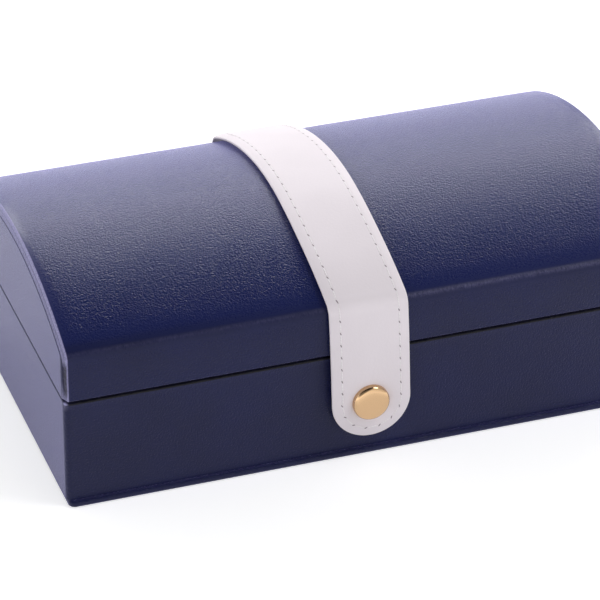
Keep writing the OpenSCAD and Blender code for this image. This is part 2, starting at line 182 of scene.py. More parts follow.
def box_sides(x, y, z):
    """The six sides of a box as grids cut at x, y and z: their points, and their quads turned outwards."""
    axes = [x, y, z]
    points, quads, count = [], [], 0
    for axis in range(3):
        u, v = axes[(axis + 1) % 3], axes[(axis + 2) % 3]
        for end, order in ((0, -1), (-1, 1)):
            side = np.empty((len(u), len(v), 3))
            side[..., axis] = axes[axis][end]
            side[..., (axis + 1) % 3], side[..., (axis + 2) % 3] = np.meshgrid(u, v, indexing="ij")
            points.append(side.reshape(-1, 3))
            quads.append(grid_quads(len(u), len(v))[:, ::order] + count)
            count += len(points[-1])
    return np.concatenate(points), np.concatenate(quads)


def board_form(low, high, r, steps):
    """A board with round edges: each point of a box is the nearest point of a core r smaller, plus r away
    from it."""
    low, high = np.array(low, float), np.array(high, float)
    points, quads = box_sides(*(cuts(low[i], high[i], r, steps[i]) for i in range(3)))
    core = np.clip(points, low + r, high - r)
    out = points - core
    return core + r * out / np.linalg.norm(out, axis=1, keepdims=True), quads


def plan_stations(low, high, r, step, arc=8):
    """Stations anticlockwise round a rectangle whose corners are arcs of r, and the outward direction at
    each."""
    corners = [
        (high[0] - r, high[1] - r), (low[0] + r, high[1] - r), (low[0] + r, low[1] + r),
        (high[0] - r, low[1] + r)
    ]
    points, outward = [], []
    for k, corner in enumerate(corners):
        angle = np.linspace(k, k + 1, arc + 1) * math.pi / 2
        way = np.stack([np.cos(angle), np.sin(angle)], axis=1)
        side = way[-1]
        start = np.array(corner) + r * side
        run = np.array(corners[(k + 1) % 4]) + r * side - start
        length = np.linalg.norm(run)
        along = np.linspace(0, length, math.ceil(length / step) + 1)[1:-1]
        along = np.unique(np.concatenate([along, [GUARD, length - GUARD]]))
        points += [np.array(corner) + r * way, start + np.outer(along / length, run)]
        outward += [way, np.tile(side, (len(along), 1))]
    return np.concatenate(points), np.concatenate(outward)


def drawn_in(stations, outward, low, high, r, inset):
    """A round-cornered plan drawn in by each inset: its corners keep their centres until their radius is
    used up."""
    inset = np.asarray(inset, float)[None, :, None]
    left = np.maximum(r - inset, 0.1)
    core = np.clip(stations[:, None, :], low + inset + left, high - inset - left)
    return core + left * outward[:, None, :]


def round_corners(corners, radii, arc=5):
    """A line through corners, each turned by an arc of its radius about the centre between its two sides,
    with a guard point before and after."""
    corners = np.array(corners, float)
    line = []
    for k, r in enumerate(radii):
        before, corner, after = corners[k - 1], corners[k], corners[(k + 1) % len(corners)]
        if r == 0:
            line.append(corner[None])
            continue
        u = (before - corner) / np.linalg.norm(before - corner)
        v = (after - corner) / np.linalg.norm(after - corner)
        half = math.acos(np.clip(u @ v, -1, 1)) / 2
        centre = corner + (u + v) / np.linalg.norm(u + v) * r / math.sin(half)
        start = corner + u * r / math.tan(half) - centre
        end = corner + v * r / math.tan(half) - centre
        t = np.linspace(0, 1, arc + 1)[:, None]
        sweep = math.pi - 2 * half
        turn = (np.sin((1 - t) * sweep) * start + np.sin(t * sweep) * end) / math.sin(sweep)
        line.append(centre + np.concatenate([[start + u * GUARD], turn, [end + v * GUARD]]))
    return np.concatenate(line)


def refine(line, step):
    """A closed line with points added so that none of its stretches is longer than step."""
    parts = []
    for start, end in zip(line, np.roll(line, -1, axis=0)):
        count = max(1, math.ceil(np.linalg.norm(end - start) / step))
        parts.append(start + np.linspace(0, 1, count + 1)[:-1, None] * (end - start))
    return np.concatenate(parts)


def ripple(points, wave, seed):
    """Soft unevenness between -1 and 1: the mean of nine plane waves about wave long, each with a direction
    of its own."""
    rng = np.random.default_rng(seed)
    way = rng.normal(size=(9, points.shape[1]))
    way /= np.linalg.norm(way, axis=1, keepdims=True)
    length = wave * rng.uniform(0.7, 1.6, 9)
    return np.sin(
        points @ (way / length[:, None]).T * 2 * math.pi + rng.uniform(0, 2 * math.pi, 9)
    ).mean(axis=1)


def over_lid(s, h):
    """Y and Z of a point s along the cover's leather from the front crease and h out of it: a straight
    drop, the crease's arc, the vault's arc, the rear crease's arc and a straight drop."""
    s, h = np.asarray(s, float), np.asarray(h, float)
    bends = [0, CREASE_L, CREASE_L + VAULT_L, OVER_L]
    angle = np.interp(s, bends, [math.pi, math.pi / 2 + BLEND_ANGLE, math.pi / 2 - BLEND_ANGLE, 0])
    on_vault = (s > bends[1]) & (s < bends[2])
    r = np.where(on_vault, VAULT_R, CREASE_R) + h
    y = np.where(on_vault, 0, np.where(s < OVER_L / 2, -BLEND_Y, BLEND_Y))
    z = np.where(on_vault, VAULT_Z, BLEND_Z + np.minimum(s, 0) + np.minimum(OVER_L - s, 0))
    return y + r * np.cos(angle), z + r * np.sin(angle)


def puff(s):
    """How far the leather stands off the vault board: nothing at the creases and most over the crown."""
    return PUFF * np.sin(np.clip((s - CREASE_L) / VAULT_L, 0, 1) * math.pi)


def under_vault(y):
    """Height of the cover's inner face over y: the vault's circle, then the crease's."""
    y = np.abs(y)
    vault_r, crease_r = VAULT_R - COVER_T, CREASE_R - COVER_T
    vault = VAULT_Z + np.sqrt(vault_r**2 - y**2)
    crease = BLEND_Z + np.sqrt(np.maximum(crease_r**2 - np.maximum(y - BLEND_Y, 0) ** 2, 0))
    return np.where(y < vault_r * math.sin(BLEND_ANGLE), vault, crease)


def make(name, points, quads, material, body=None, stands_for=(), values=None):
    """Makes a piece from points in millimetres: merges what meets, turns the faces outwards and shades them
    smooth."""
    mesh = bpy.data.meshes.new(name)
    mesh.from_pydata((np.asarray(points) * MM).tolist(), [], quads.tolist())
    for key, value in (values or {}).items():
        mesh.attributes.new(key, "FLOAT", "POINT").data.foreach_set("value", np.asarray(value, np.float32))
    form = bmesh.new()
    form.from_mesh(mesh)
    bmesh.ops.remove_doubles(form, verts=form.verts, dist=2e-6)
    bmesh.ops.recalc_face_normals(form, faces=form.faces)
    form.to_mesh(mesh)
    form.free()
    mesh.polygons.foreach_set("use_smooth", np.ones(len(mesh.polygons), bool))
    mesh.materials.append(material)
    made = bpy.data.objects.new(name, mesh)
    bpy.context.scene.collection.objects.link(made)
    if stands_for:
        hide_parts(*stands_for)
    if body:
        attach(made, body)
    return made


# --- materials ---


def colour(value):
    """An sRGB hex value as a linear colour."""
    srgb = np.array([int(value[i : i + 2], 16) for i in (1, 3, 5)]) / 255
    linear = np.where(srgb <= 0.04045, srgb / 12.92, ((srgb + 0.055) / 1.055) ** 2.4)
    return (*linear.tolist(), 1)


def add(tree, kind, inputs=None, out=0, **settings):
    """Adds a node with its settings, links or sets its inputs by name or number, and gives back one of its
    outputs."""
    made = tree.nodes.new("ShaderNode" + kind)
    for key, value in settings.items():
        setattr(made, key, value)
    for key, value in (inputs or {}).items():
        if isinstance(value, bpy.types.NodeSocket):
            tree.links.new(value, made.inputs[key])
        else:
            made.inputs[key].default_value = value
    return made.outputs[out] if made.outputs else None


def new_material(name):
    """An empty material, its node tree, and its place on the object in metres."""
    material = bpy.data.materials.new(name)
    material.use_nodes = True
    tree = material.node_tree
    tree.nodes.clear()
    return material, tree, add(tree, "TexCoord", out="Object")


def surfaced(material, shader):
    """The material with its shader as its surface."""
    add(material.node_tree, "OutputMaterial", {"Surface": shader})
    return material


def per_mm(size):
    """A texture's scale for features of that many millimetres."""
    return 1 / (size * MM)


def bonded_leather(name, face, low, painted_vault_colour, high, grain, depth, roughness, specular, sheen, sheen_colour):
    """Embossed leather: close pebbles of grain mm with creases between them over soft unevenness, smoother
    where it is pulled tight, painted a deeper colour where it stands for the light on a top face, scuffed
    paler along its edges with painted highlights there, broken into short pale fibres across a crease that
    also carries a painted highlight, and painted nearly black as shade in grooves, recesses and seams."""
    material, tree, place = new_material(name)
    warp = add(tree, "TexNoise", {"Vector": place, "Scale": per_mm(grain * 2.2), "Detail": 2.0}, "Color")
    bent = add(tree, "Mix", {0: 0.0006, 4: place, 5: warp}, 1, data_type="VECTOR")
    pebble = add(
        tree, "TexVoronoi", {"Vector": bent, "Scale": per_mm(grain), "Smoothness": 0.6}, feature="SMOOTH_F1"
    )
    fine = add(
        tree, "TexNoise", {"Vector": place, "Scale": per_mm(grain * 0.75), "Detail": 2.0, "Roughness": 0.6}
    )
    broad = add(tree, "TexNoise", {"Vector": place, "Scale": per_mm(26), "Detail": 2.0})
    drawn = add(tree, "Mapping", {"Vector": place, "Scale": (1.0, 0.45, 0.45)})
    fibre = add(tree, "TexNoise", {"Vector": drawn, "Scale": per_mm(0.42), "Detail": 3.0, "Roughness": 0.7})
    marks = ("wear_and_highlight", "fold_and_highlight", "tight", "painted_vault_tone", "painted_shade")
    wear_and_highlight, fold_and_highlight, tight, painted_vault_tone, painted_shade = (add(tree, "Attribute", out="Fac", attribute_name=mark) for mark in marks)
    height = add(tree, "Math", {0: pebble, 1: -0.5, 2: fine}, operation="MULTIPLY_ADD")
    loose = add(tree, "Math", {0: 1.0, 1: tight}, operation="SUBTRACT")
    height = add(tree, "Math", {0: height, 1: loose}, operation="MULTIPLY")
    broken = add(tree, "Math", {0: fibre, 1: fold_and_highlight}, operation="MULTIPLY")
    height = add(tree, "Math", {0: broken, 1: 3.0, 2: height}, operation="MULTIPLY_ADD")
    bump = add(tree, "Bump", {"Height": height, "Distance": depth * MM, "Strength": 1.0})
    shade = add(tree, "MapRange", {"Value": broad, "From Min": 0.35, "From Max": 0.65})
    tone = add(tree, "Mix", {0: shade, 6: colour(low), 7: colour(face)}, 2, data_type="RGBA")
    # painted light: the vault's mask mixes in a deeper blue for how light falls on the top
    tone = add(tree, "Mix", {0: painted_vault_tone, 6: tone, 7: colour(painted_vault_colour)}, 2, data_type="RGBA")
    torn = add(tree, "MapRange", {"Value": fibre, "From Min": 0.3, "From Max": 0.7})
    # pale marks: scuffed edges and fibres across creases, partly painted highlight
    rubbed_and_highlit = add(tree, "Math", {0: wear_and_highlight, 1: fine}, operation="MULTIPLY")
    rubbed_and_highlit = add(tree, "Math", {0: torn, 1: fold_and_highlight, 2: rubbed_and_highlit}, operation="MULTIPLY_ADD", use_clamp=True)
    worn_lit_and_shaded = add(tree, "Mix", {0: rubbed_and_highlit, 6: tone, 7: colour(high)}, 2, data_type="RGBA")
    # painted shade: nearly black where the mask marks grooves, recesses and seams
    worn_lit_and_shaded = add(tree, "Mix", {0: painted_shade, 6: worn_lit_and_shaded, 7: colour("#040408")}, 2, data_type="RGBA")
    spread = {"From Min": 0.3, "From Max": 0.7, "To Min": roughness - 0.05, "To Max": roughness + 0.05}
    gloss = add(tree, "MapRange", {"Value": fine, **spread})
    dull = add(tree, "Math", {0: tight, 1: 0.15, 2: gloss}, operation="MULTIPLY_ADD")
    shader = add(
        tree,
        "BsdfPrincipled",
        {
            "Base Color": worn_lit_and_shaded,
            "Roughness": dull,
            "Specular IOR Level": specular,
            "Sheen Weight": sheen,
            "Sheen Roughness": 0.4,
            "Sheen Tint": colour(sheen_colour),
            "Normal": bump,
        },
    )
    return surfaced(material, shader)


def cotton_velvet(name, face, shadow):
    """Short-pile velvet: a soft nap that scatters light at its edge, brushed into paler and darker
    patches."""
    material, tree, place = new_material(name)
    pile = add(tree, "TexNoise", {"Vector": place, "Scale": per_mm(0.35), "Detail": 3.0})
    brushed = add(tree, "TexNoise", {"Vector": place, "Scale": per_mm(9), "Detail": 3.0, "Distortion": 0.8})
    mixed = add(tree, "Math", {0: pile, 1: 0.5, 2: brushed}, operation="MULTIPLY_ADD")
    nap = add(tree, "MapRange", {"Value": mixed, "From Min": 0.55, "From Max": 0.95})
    tone = add(tree, "Mix", {0: nap, 6: colour(shadow), 7: colour(face)}, 2, data_type="RGBA")
    bump = add(tree, "Bump", {"Height": pile, "Distance": 0.12 * MM, "Strength": 1.0})
    shader = add(
        tree,
        "BsdfPrincipled",
        {
            "Base Color": tone,
            "Roughness": 0.9,
            "Specular IOR Level": 0.2,
            "Sheen Weight": 0.6,
            "Sheen Roughness": 0.35,
            "Sheen Tint": colour("#f2edea"),
            "Normal": bump,
        },
    )
    return surfaced(material, shader)


def grey_board(name):
    """Recycled greyboard: matt, with short fibres and pale and dark flecks."""
    material, tree, place = new_material(name)
    fibre = add(tree, "TexNoise", {"Vector": place, "Scale": per_mm(0.8), "Detail": 4.0, "Distortion": 1.5})
    fleck = add(tree, "MapRange", {"Value": fibre, "From Min": 0.3, "From Max": 0.7})
    tone = add(tree, "Mix", {0: fleck, 6: colour("#7b7466"), 7: colour("#a39a8a")}, 2, data_type="RGBA")
    bump = add(tree, "Bump", {"Height": fibre, "Distance": 0.05 * MM, "Strength": 1.0})
    shader = add(tree, "BsdfPrincipled", {"Base Color": tone, "Roughness": 0.85, "Normal": bump})
    return surfaced(material, shader)


def planed_basswood(name):
    """Planed basswood: pale, with straight faint grain along its length."""
    material, tree, place = new_material(name)
    drawn = add(tree, "Mapping", {"Vector": place, "Scale": (1.0, 0.06, 1.0)})
    grain = add(tree, "TexNoise", {"Vector": drawn, "Scale": per_mm(0.6), "Detail": 4.0})
    tone = add(tree, "Mix", {0: grain, 6: colour("#c9ab7c"), 7: colour("#e3cda4")}, 2, data_type="RGBA")
    shader = add(tree, "BsdfPrincipled", {"Base Color": tone, "Roughness": 0.6})
    return surfaced(material, shader)


def polished_brass(name, face, roughness):
    """Pressed and polished brass under clear lacquer: warm, with fine rubbed lines that spread its
    highlights."""
    material, tree, place = new_material(name)
    rub = add(tree, "TexNoise", {"Vector": place, "Scale": per_mm(0.5), "Detail": 4.0})
    gloss = add(tree, "MapRange", {"Value": rub, "To Min": roughness * 0.7, "To Max": roughness * 1.3})
    bump = add(tree, "Bump", {"Height": rub, "Distance": 0.002 * MM, "Strength": 1.0})
    shader = add(
        tree,
        "BsdfPrincipled",
        {"Base Color": colour(face), "Metallic": 1.0, "Roughness": gloss, "Normal": bump},
    )
    return surfaced(material, shader)


def silvered_glass(name):
    """A small flat mirror: silvered behind clear float glass, very slightly uneven."""
    material, tree, place = new_material(name)
    wave = add(tree, "TexNoise", {"Vector": place, "Scale": per_mm(40), "Detail": 1.0})
    bump = add(tree, "Bump", {"Height": wave, "Distance": 0.01 * MM, "Strength": 1.0})
    shader = add(
        tree,
        "BsdfPrincipled",
        {"Base Color": colour("#dfe6e8"), "Metallic": 1.0, "Roughness": 0.02, "Normal": bump},
    )
    return surfaced(material, shader)


def spun_thread(name):
    """Bonded polyester thread: off-white, with a fine twist."""
    material, tree, place = new_material(name)
    twist = add(
        tree, "TexWave", {"Vector": place, "Scale": per_mm(1.6), "Distortion": 1.0}, "Fac",
        bands_direction="DIAGONAL"
    )
    bump = add(tree, "Bump", {"Height": twist, "Distance": 0.015 * MM, "Strength": 1.0})
    tone = add(tree, "Mix", {0: twist, 6: colour("#eee8ec"), 7: colour("#f9f4f7")}, 2, data_type="RGBA")
    shader = add(tree, "BsdfPrincipled", {"Base Color": tone, "Roughness": 0.55, "Normal": bump})
    return surfaced(material, shader)


# the third colour is painted light, a deeper blue for the vault; the fourth is the pale colour of scuffs and
# painted highlights
NAVY_LEATHER = bonded_leather(
    "navy_leather", "#0c133f", "#0a1038", "#021248", "#9e9bc6", 0.6, 0.17, 0.19, 0.2, 1.0, "#b2b0f6"
)
WHITE_LEATHER = bonded_leather(
    "white_leather", "#f0e8ee", "#ebe3e9", "#f0e8ee", "#f6f2f3", 0.8, 0.025, 0.55, 0.15, 0.0, "#ffffff"
)
VELVET = cotton_velvet("velvet", "#bdb6b3", "#a49c9a")
ROLL_VELVET = cotton_velvet("ring_roll_velvet", "#c6bfbc", "#aea6a3")
GREYBOARD = grey_board("greyboard")
BEARER_WOOD = planed_basswood("bearer_wood")
CAP_BRASS = polished_brass("cap_brass", "#d0ad86", 0.12)
SNAP_BRASS = polished_brass("snap_brass", "#c9a574", 0.3)
MIRROR_GLASS = silvered_glass("mirror_glass")
THREAD = spun_thread("thread")
# painted shade: the darkness inside the needle holes, laid as flat grey discs
NEEDLE_HOLE_SHADE = cotton_velvet("needle_hole_shade", "#9c9098", "#80747b")

# --- cover ---


def near_height(points, z, width):
    """Falls from 1 at height z to nothing about two widths away."""
    return np.exp(-(((points[:, 2] - z) / width) ** 2))


def rim_wear_and_highlight(points, z, amount, low, high):
    """Scuffing along a tray's rim and a painted highlight at its upright corners: it fades away from height
    z, and grows to full at the upright corners of the tray."""
    to_corner = np.hypot(*(np.minimum(points[:, i] - low[i], high[i] - points[:, i]) for i in range(2)))
    return near_height(points, z, 0.36) * (0.3 * amount + 5 * np.exp(-((to_corner / 0.9) ** 2)))


def make_cover():
    """The vault, band and back as one leather-wrapped board, bent over the lid. The leather puffs over the
    crown, is a little uneven and is drawn in at the two creases. Each end slopes from the face's edge out
    to the lid's end, with a fine groove where its two layers meet, and below the creases the inner layer is
    set back behind the face. Its colour carries painted light: a deeper blue over the vault, painted
    highlights along the outer edges, over the end faces and at the creases, and painted shade nearly black
    in the groove, on the set-back layer and above the front crease."""
    half, foot, head = lid_high[0] - 0.05, -(
        BLEND_Z - band_low[2] + LEATHER
    ), OVER_L + BLEND_Z - cover_low[2]
    points, quads = board_form((-half, foot, -COVER_T), (half, head, 0), COVER_EDGE_R, (3, 0.45, 0.1))
    x, s, h = points.T
    outer = 1 + h / COVER_T
    inside = half - np.abs(x)
    bends = (CREASE_FOLD_S, OVER_L - CREASE_FOLD_S)
    drawn = sum(0.12 * np.exp(-(((s - place) / 0.6) ** 2)) for place in bends)
    uneven = 0.035 * ripple(points[:, :2], 18, 1)
    end_drop = 0.1 * np.exp(-((inside / 1.6) ** 2))
    y, z = over_lid(s, h + outer * (puff(s) + uneven - drawn - end_drop))

    on_end = np.clip(1 - inside / COVER_EDGE_R, 0, 1)
    below = sum(np.clip(reach, 0, 1) for reach in (-s / 2.5, (s - OVER_L) / 2.5)) * np.clip(
        np.minimum(s - foot, head - s) / 3, 0, 1
    )
    set_back = below * np.clip((-h - 0.35) / 0.3, 0, 1)
    groove = np.exp(-(((h + COVER_T * 0.45) / 0.1) ** 2)) * (1 - below)
    x = x * (1 - outer * (1 - cover_high[0] / half)) - np.sign(x) * on_end * (
        0.08 * groove + 0.4 * set_back
    )

    # scuffing and a painted highlight along the outer rounded edge, and painted light over each end face
    # above the creases
    wear_and_highlight = outer * 1.6 * np.exp(-((inside - COVER_EDGE_R * 0.4) ** 2) / 0.015) + 0.8 * on_end * (1 - below)
    # pale fibres across both creases with a painted highlight, growing towards the right
    right = 0.4 + 0.6 * np.clip((x - STRAP_X) / 10, 0, 1)
    fold_and_highlight = outer * right * sum(np.exp(-(((s - place) / 0.7) ** 2)) for place in bends)
    # painted shade above the front crease, deeper towards the left
    painted_crease_shade = outer * np.exp(-(((s - 4.0) / 1.5) ** 2)) * np.clip((20 - x) / 110, 0.15, 1)
    tight = np.clip(
        np.exp(-((inside / 2.2) ** 2)) + sum(np.exp(-(((s - place) / 5) ** 2)) for place in bends), 0, 1
    )
    marks = {
        "wear_and_highlight": wear_and_highlight,
        "fold_and_highlight": 0.25 * fold_and_highlight,
        "tight": 0.9 * tight * (on_end < 0.5),
        # painted light: a deeper blue over the vault, off the creases and ends
        "painted_vault_tone": np.clip((np.minimum(s, OVER_L - s) - 2.4) / 1.2, 0, 1) * (on_end < 0.5),
        # painted shade: nearly black in the end groove, on the set-back layer and above the front crease
        "painted_shade": np.where(on_end > 0, (0.85 * set_back + 0.5 * groove) * on_end, 0.35 * painted_crease_shade),
    }
    make(
        "cover", np.stack([x, y, z], axis=1), quads, NAVY_LEATHER, "lid", ["cover_leather"],
        marks
    )


def make_spine():
    """The back board under the hinge, wrapped in leather."""
    points, quads = board_form(spine_low, spine_high, BOARD_EDGE_R, (3, COVER_T, 3))
    outer = (points[:, 1] - spine_low[1]) / COVER_T
    points[:, 1] += outer * 0.035 * ripple(points[:, ::2], 18, 2)
    make("spine", points, quads, NAVY_LEATHER, "base", ["spine_leather"])


def make_hinge_leather():
    """The leather that runs from the spine to the lid's back, sunk in a shallow groove along the hinge
    line."""
    low = (spine_low[0] + BOARD_EDGE_R, HINGE_Z - 2.6, -LEATHER)
    high = (spine_high[0] - BOARD_EDGE_R, HINGE_Z + 2.6, 0)
    points, quads = board_form(low, high, 0.12, (4, 0.08, LEATHER))
    s, h = points[:, 1], points[:, 2]
    sunk = 0.02 + 0.5 * np.exp(-(((s - HINGE_Z) / 0.8) ** 2))
    placed = np.stack([points[:, 0], HALF_D - sunk + h, s], axis=1)
    hinge = make("hinge_leather", placed, quads, NAVY_LEATHER)
    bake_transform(hinge)


def make_inner_hinge():
    """The inner hinge strip, glued behind the liners and run across the seam between the two rims."""
    face = base_high[1] - WALL_IN - LEATHER
    reach = base_high[0] - WALL_IN - LEATHER - 0.3
    low = (-reach, face - 0.45, HINGE_Z - 3)
    high = (reach, face - 0.05, HINGE_Z + 3)
    points, quads = board_form(low, high, 0.15, (4, 0.4, 0.08))
    strip = make("inner_hinge", points, quads, NAVY_LEATHER)
    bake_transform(strip)


def plan_sweep(low, high, r, step, inset, z, pole=False):
    """A profile of insets and heights carried round a plan. Its heights may change from station to station.
    With poles, its two ends close at the plan's centre."""
    stations, outward = plan_stations(low[:2], high[:2], r, step)
    flat = drawn_in(stations, outward, low[:2], high[:2], r, inset)
    if pole:
        flat[:, [0, -1]] = (low[:2] + high[:2]) / 2
    heights = z(stations) if callable(z) else np.broadcast_to(z, flat.shape[:2])
    points = np.concatenate([flat, heights[..., None]], axis=2).reshape(-1, 3)
    return points, grid_quads(len(stations), flat.shape[1], True, not pole)


def make_bottom():
    """The bottom board in leather: a plate with round upright corners and round edges."""
    top = bottom_high[2]
    profile = round_corners([(60, 0), (0, 0), (0, top), (60, top)], [0, 0.7, 0.7, 0])
    inset = profile[:, 0].copy()
    inset[[0, -1]] = 6
    profile = np.concatenate(
        [[[6, 0]], np.stack([np.minimum(inset, 6), profile[:, 1]], axis=1), [[6, top]]]
    )
    points, quads = plan_sweep(
        bottom_low, bottom_high, BOTTOM_CORNER_R, 3, profile[:, 0], profile[:, 1], pole=True
    )
    make("bottom", points, quads, NAVY_LEATHER, "base", ["bottom_leather"])


def make_base_wrap():
    """The base tray's leather: up the walls, over the rim in two soft turns and down inside. Its rim is
    painted nearly black as the shade of the seam under the lid, down a further millimetre on the front.
    """
    foot, rim, inner = base_low[2], base_high[2], WALL_IN + LEATHER
    corners = [
        (0, foot), (0, rim), (inner, rim), (inner, rim - 8), (WALL_IN, rim - 8), (WALL_IN, rim - LEATHER),
        (LEATHER, rim - LEATHER), (LEATHER, foot),
    ]
    profile = refine(round_corners(corners, [0.2, RIM_R, RIM_R, 0.15, 0.15, 0.3, 0.3, 0.1]), 2.5)
    points, quads = plan_sweep(base_low, base_high, TRAY_CORNER_R, 3, profile[:, 0], profile[:, 1])
    outer = np.tile(profile[:, 0] < 0.01, len(points) // len(profile))
    middle = (base_low + base_high) / 2
    away = points - middle
    side = np.abs(away[:, 0]) / (base_high[0] - middle[0]) > np.abs(away[:, 1]) / (base_high[1] - middle[1])
    bulge = outer * 0.04 * ripple(points, 20, 3)
    points[:, 0] += bulge * side * np.sign(away[:, 0])
    points[:, 1] += bulge * ~side * np.sign(away[:, 1])
    at_rim = np.clip((points[:, 2] - rim + 1.6) / 0.4, 0, 1)
    front = np.clip((base_low[1] + 1.4 - points[:, 1]) / 1.4, 0, 1)
    points[:, 2] -= 0.6 * at_rim * front
    # scuffing along the rim, with a painted highlight at the upright corners
    wear_and_highlight = rim_wear_and_highlight(points, rim - RIM_R / 2 - 0.45 * front, 0.1, base_low, base_high)
    # a pale rough line along the front, 1.5 mm under the rim
    fold_and_highlight = 0.3 * front * near_height(points, rim - 1.5, 0.25)
    # painted shade of the seam under the lid: nearly black over the rim and a further millimetre down the
    # front, except where scuffed
    painted_shade = np.clip((points[:, 2] - rim + 0.1 + 1.0 * (front > 0)) / 0.1, 0, 1) * (1 - np.clip(wear_and_highlight, 0, 1))
    make(
        "base_wrap", points, quads, NAVY_LEATHER, "base", ["base_leather_wrap"],
        {"wear_and_highlight": wear_and_highlight, "fold_and_highlight": fold_and_highlight, "painted_shade": painted_shade}
    )


def make_lid_wrap():
    """The lid tray's leather: from the panel down inside, round the rim and up the walls to the underside
    of the vault."""
    rim, top, inner = lid_low[2], 0, WALL_IN + LEATHER
    low_line = round_corners(
        [(inner, panel_low[2]), (inner, rim), (0, rim), (0, rim + 6)], [0, RIM_R, RIM_R, 0]
    )
    high_corners = [
        (0, top - 6), (0, top), (WALL_IN, top), (WALL_IN, top - LEATHER), (LEATHER, top - LEATHER),
        (LEATHER, top - 6),
    ]
    high_line = round_corners(high_corners, [0, 0.25, 0.15, 0.15, 0.2, 0])
    back_corners = [
        (LEATHER, rim + 6), (LEATHER, rim + LEATHER), (WALL_IN, rim + LEATHER), (WALL_IN, panel_low[2]),
    ]
    back_line = round_corners(back_corners, [0, 0.3, 0.3, 0])
    inset = np.concatenate([low_line[:, 0], high_line[:, 0], back_line[:, 0]])
    height = np.concatenate([low_line[:, 1], high_line[:, 1], back_line[:, 1]])
    hung = np.concatenate([np.zeros(len(low_line)), np.ones(len(high_line)), np.zeros(len(back_line))])

    def heights(stations):
        return height[None, :] + hung[None, :] * under_vault(stations[:, 1])[:, None]

    points, quads = plan_sweep(lid_low, lid_high, TRAY_CORNER_R, 1.5, inset, heights)
    # scuffing along the rim, with a painted highlight at the upright corners
    wear_and_highlight = rim_wear_and_highlight(points, rim + RIM_R / 2, 0.25, lid_low, lid_high)
    make(
        "lid_wrap", points, quads, NAVY_LEATHER, "lid", ["lid_leather_wrap"], {"wear_and_highlight": wear_and_highlight}
    )


# --- strap ---

STRAP_EDGE_T = 1.45
STRAP_SWELL = 0.1
FACING_EDGE_T = 0.7
BACKING_INSET = 1.8
STRAP_TOP = OVER_L + BLEND_Z - strap_low[2]
SNAP_S = SNAP_Z - BLEND_Z


def drift(s):
    """How far the strap lies to one side of its middle line: it was sewn on by hand, bows to the left over
    the vault and hangs to the right at its end."""
    return 0.9 * np.clip(-s / 30, 0, 1) - 0.8 * np.exp(-(((s - 28) / 26) ** 2))


def strap_height(x, s):
    """Height of the strap's face over the cover's leather: it rises from a thin rounded edge over the
    stitch line to its padded middle, fuller over the vault than on the tongue, and sinks along the stitches
    and round the cap."""
    beyond_snap = np.minimum(s - SNAP_S, 0)
    beyond_back = np.maximum(s - (STRAP_TOP - STRAP_R), 0)
    edge = STRAP_R - np.hypot(x, beyond_snap)
    edge = np.minimum(edge, STRAP_R - np.maximum(np.abs(x), beyond_back))
    edge = np.maximum(edge, 0)
    slope = np.clip(edge / (STITCH_INSET + 0.5), 0, 1)
    full = STRAP_T + STRAP_SWELL * np.clip(s / 12, 0, 1)
    rise = STRAP_EDGE_T + (full - STRAP_EDGE_T) * np.sin(slope * math.pi / 2)
    stitches = 0.05 * np.exp(-(((edge - STITCH_INSET) / 0.35) ** 2))
    snap = np.hypot(x, s - SNAP_S)
    press = 0.07 * np.exp(-(((snap - 5.4) / 0.7) ** 2))
    return STRAP_GAP + rise - stitches - press


def strap_outline(turn, power):
    """Reach of an end in each direction: a circle for power 2 and nearly a square for a high one."""
    return (np.abs(np.cos(turn)) ** power + np.abs(np.sin(turn)) ** power) ** (-1 / power)


def strap_rays(step):
    """Rays from the strap's middle line out to its edge: up the left side, round the back end, down the
    right side and round the tongue's end. Each has a start on the middle line and a run to the edge, across
    and along the strap."""
    along = np.arange(SNAP_S, STRAP_TOP - STRAP_R, step)
    back = np.linspace(math.pi, 0, 81)[1:-1]
    front = np.linspace(0, -math.pi, 161)[1:-1]
    sides = np.ones(len(along))
    fan_back = strap_outline(back, 12)
    across = np.concatenate([-sides, np.cos(back) * fan_back, sides, np.cos(front)])
    forward = np.concatenate([0 * sides, np.sin(back) * fan_back, 0 * sides, np.sin(front)])
    start = np.concatenate(
        [along, np.full(len(back), STRAP_TOP - STRAP_R), along[::-1], np.full(len(front), SNAP_S)]
    )
    return start, across * STRAP_R, forward * STRAP_R


def stitch_line():
    """Place of the stitches, one after another round the strap and inset from its edge, with the direction
    of the line."""
    r = STRAP_R - STITCH_INSET
    straight = STRAP_TOP - STITCH_INSET - SNAP_S
    lengths = np.array([straight, 2 * r, straight, math.pi * r])
    count = round(lengths.sum() / STITCH_PITCH)
    s = (np.arange(count) + 0.5) * lengths.sum() / count
    ends = np.cumsum(lengths)
    x = np.interp(s, [0, ends[0], ends[1], ends[2]], [-r, -r, r, r])
    along = np.interp(
        s, [0, ends[0], ends[1], ends[2]], [SNAP_S, SNAP_S + straight, SNAP_S + straight, SNAP_S]
    )
    turn = (s - ends[2]) / r
    round_end = s > ends[2]
    x = np.where(round_end, r * np.cos(turn), x)
    along = np.where(round_end, SNAP_S - r * np.sin(turn), along)
    way_x = np.select([s < ends[0], s < ends[1], s < ends[2]], [0, 1, 0], -np.sin(turn))
    way_s = np.select([s < ends[0], s < ends[1], s < ends[2]], [1, 0, -1], -np.cos(turn))
    return x, along, way_x, way_s


